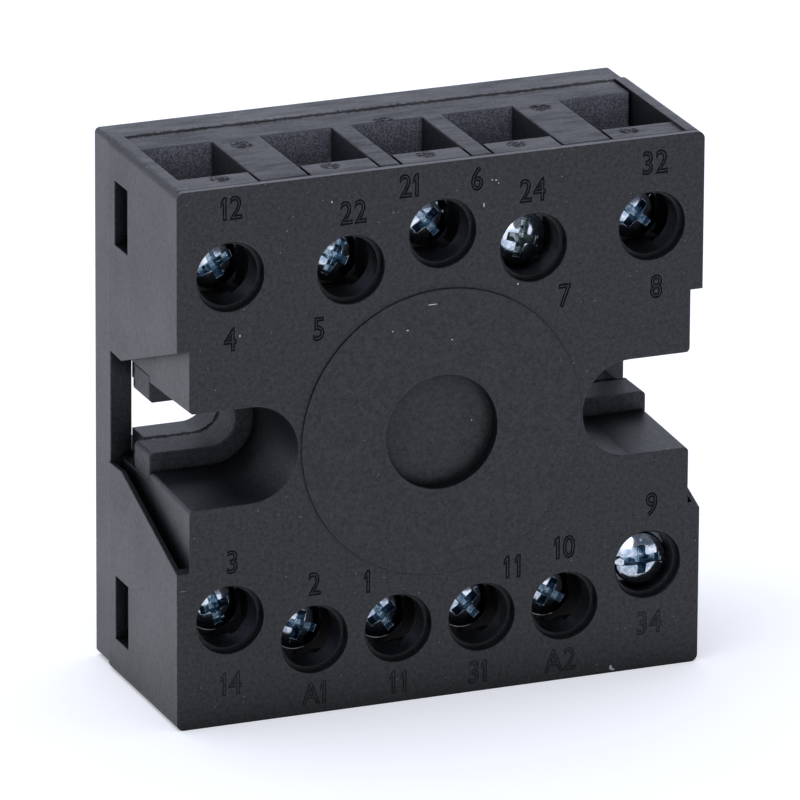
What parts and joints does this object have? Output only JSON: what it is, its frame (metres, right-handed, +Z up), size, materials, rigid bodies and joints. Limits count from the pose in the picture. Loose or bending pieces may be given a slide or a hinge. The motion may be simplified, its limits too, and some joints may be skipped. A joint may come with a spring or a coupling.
{
  "type": "relay socket",
  "caption": "Back-wired panel socket for a plug-in relay, with screw clamp terminals along two edges, two open mounting slots and a ring of pin holes round a keyed bore.",
  "frame": {"origin": "middle of the outline's footprint at the lower edge, on the ground plane", "axes": "+X to the right across the wiring face, +Y from the wiring face to the relay side, +Z up"},
  "size_m": [0.045, 0.019, 0.045],
  "materials": {
    "black_moulding": "fine matte moulded grain, charcoal black",
    "contact_metal": "plain stamped brass strip, slightly dull",
    "zinc_steel": "bright bluish zinc plating, worn in the screw recesses"
  },
  "bodies": {
    "socket": {"housing": "black_moulding", "carrier": "black_moulding", "relay_plate": "black_moulding", "contact_12": "contact_metal", "contact_22": "contact_metal", "contact_21": "contact_metal", "contact_24": "contact_metal", "contact_32": "contact_metal", "contact_14": "contact_metal", "contact_a1": "contact_metal", "contact_11": "contact_metal", "contact_31": "contact_metal", "contact_a2": "contact_metal", "contact_34": "contact_metal"},
    "clamp_12": {"clamp_12": "zinc_steel"},
    "screw_12": {"screw_12": "zinc_steel"},
    "clamp_22": {"clamp_22": "zinc_steel"},
    "screw_22": {"screw_22": "zinc_steel"},
    "clamp_21": {"clamp_21": "zinc_steel"},
    "screw_21": {"screw_21": "zinc_steel"},
    "clamp_24": {"clamp_24": "zinc_steel"},
    "screw_24": {"screw_24": "zinc_steel"},
    "clamp_32": {"clamp_32": "zinc_steel"},
    "screw_32": {"screw_32": "zinc_steel"},
    "clamp_14": {"clamp_14": "zinc_steel"},
    "screw_14": {"screw_14": "zinc_steel"},
    "clamp_a1": {"clamp_a1": "zinc_steel"},
    "screw_a1": {"screw_a1": "zinc_steel"},
    "clamp_11": {"clamp_11": "zinc_steel"},
    "screw_11": {"screw_11": "zinc_steel"},
    "clamp_31": {"clamp_31": "zinc_steel"},
    "screw_31": {"screw_31": "zinc_steel"},
    "clamp_a2": {"clamp_a2": "zinc_steel"},
    "screw_a2": {"screw_a2": "zinc_steel"},
    "clamp_34": {"clamp_34": "zinc_steel"},
    "screw_34": {"screw_34": "zinc_steel"}
  },
  "joints": [
    {"name": "lift_12", "type": "slide", "parent": "socket", "child": "clamp_12", "axis": [0, 1, 0], "range_m": [-0.0024, 0]},
    {"name": "turn_12", "type": "hinge", "parent": "clamp_12", "child": "screw_12", "pos_m": [-0.018, 0, 0.0376], "axis": [0, 1, 0], "range_deg": [-1920.01, 0]},
    {"name": "lift_22", "type": "slide", "parent": "socket", "child": "clamp_22", "axis": [0, 1, 0], "range_m": [-0.0024, 0]},
    {"name": "turn_22", "type": "hinge", "parent": "clamp_22", "child": "screw_22", "pos_m": [-0.0078, 0, 0.037], "axis": [0, 1, 0], "range_deg": [-1920.01, 0]},
    {"name": "lift_21", "type": "slide", "parent": "socket", "child": "clamp_21", "axis": [0, 1, 0], "range_m": [-0.0024, 0]},
    {"name": "turn_21", "type": "hinge", "parent": "clamp_21", "child": "screw_21", "pos_m": [0, 0, 0.0391], "axis": [0, 1, 0], "range_deg": [-1920.01, 0]},
    {"name": "lift_24", "type": "slide", "parent": "socket", "child": "clamp_24", "axis": [0, 1, 0], "range_m": [-0.0013, 0.0011]},
    {"name": "turn_24", "type": "hinge", "parent": "clamp_24", "child": "screw_24", "pos_m": [0.0078, 0, 0.037], "axis": [0, 1, 0], "range_deg": [-1040.01, 880.01]},
    {"name": "lift_32", "type": "slide", "parent": "socket", "child": "clamp_32", "axis": [0, 1, 0], "range_m": [-0.0022, 0.0002]},
    {"name": "turn_32", "type": "hinge", "parent": "clamp_32", "child": "screw_32", "pos_m": [0.018, 0, 0.0376], "axis": [0, 1, 0], "range_deg": [-1760.01, 160.01]},
    {"name": "lift_14", "type": "slide", "parent": "socket", "child": "clamp_14", "axis": [0, 1, 0], "range_m": [-0.0023, 0.0001]},
    {"name": "turn_14", "type": "hinge", "parent": "clamp_14", "child": "screw_14", "pos_m": [-0.018, 0, 0.0089], "axis": [0, 1, 0], "range_deg": [-1840.01, 80.01]},
    {"name": "lift_a1", "type": "slide", "parent": "socket", "child": "clamp_a1", "axis": [0, 1, 0], "range_m": [-0.0024, 0]},
    {"name": "turn_a1", "type": "hinge", "parent": "clamp_a1", "child": "screw_a1", "pos_m": [-0.0108, 0, 0.0063], "axis": [0, 1, 0], "range_deg": [-1920.01, 0]},
    {"name": "lift_11", "type": "slide", "parent": "socket", "child": "clamp_11", "axis": [0, 1, 0], "range_m": [-0.0024, 0]},
    {"name": "turn_11", "type": "hinge", "parent": "clamp_11", "child": "screw_11", "pos_m": [-0.0036, 0, 0.0063], "axis": [0, 1, 0], "range_deg": [-1920.01, 0]},
    {"name": "lift_31", "type": "slide", "parent": "socket", "child": "clamp_31", "axis": [0, 1, 0], "range_m": [-0.0023, 0.0001]},
    {"name": "turn_31", "type": "hinge", "parent": "clamp_31", "child": "screw_31", "pos_m": [0.0036, 0, 0.0063], "axis": [0, 1, 0], "range_deg": [-1840.01, 80.01]},
    {"name": "lift_a2", "type": "slide", "parent": "socket", "child": "clamp_a2", "axis": [0, 1, 0], "range_m": [-0.0024, 0]},
    {"name": "turn_a2", "type": "hinge", "parent": "clamp_a2", "child": "screw_a2", "pos_m": [0.0108, 0, 0.0063], "axis": [0, 1, 0], "range_deg": [-1920.01, 0]},
    {"name": "lift_34", "type": "slide", "parent": "socket", "child": "clamp_34", "axis": [0, 1, 0], "range_m": [0, 0.0024]},
    {"name": "turn_34", "type": "hinge", "parent": "clamp_34", "child": "screw_34", "pos_m": [0.018, 0, 0.0089], "axis": [0, 1, 0], "range_deg": [0, 1920.01]}
  ],
  "couplings": [
    {"joint": "turn_12", "follows": "lift_12", "rad_per_m": 13963},
    {"joint": "turn_22", "follows": "lift_22", "rad_per_m": 13963},
    {"joint": "turn_21", "follows": "lift_21", "rad_per_m": 13963},
    {"joint": "turn_24", "follows": "lift_24", "rad_per_m": 13963},
    {"joint": "turn_32", "follows": "lift_32", "rad_per_m": 13963},
    {"joint": "turn_14", "follows": "lift_14", "rad_per_m": 13963},
    {"joint": "turn_a1", "follows": "lift_a1", "rad_per_m": 13963},
    {"joint": "turn_11", "follows": "lift_11", "rad_per_m": 13963},
    {"joint": "turn_31", "follows": "lift_31", "rad_per_m": 13963},
    {"joint": "turn_a2", "follows": "lift_a2", "rad_per_m": 13963},
    {"joint": "turn_34", "follows": "lift_34", "rad_per_m": 13963}
  ]
}
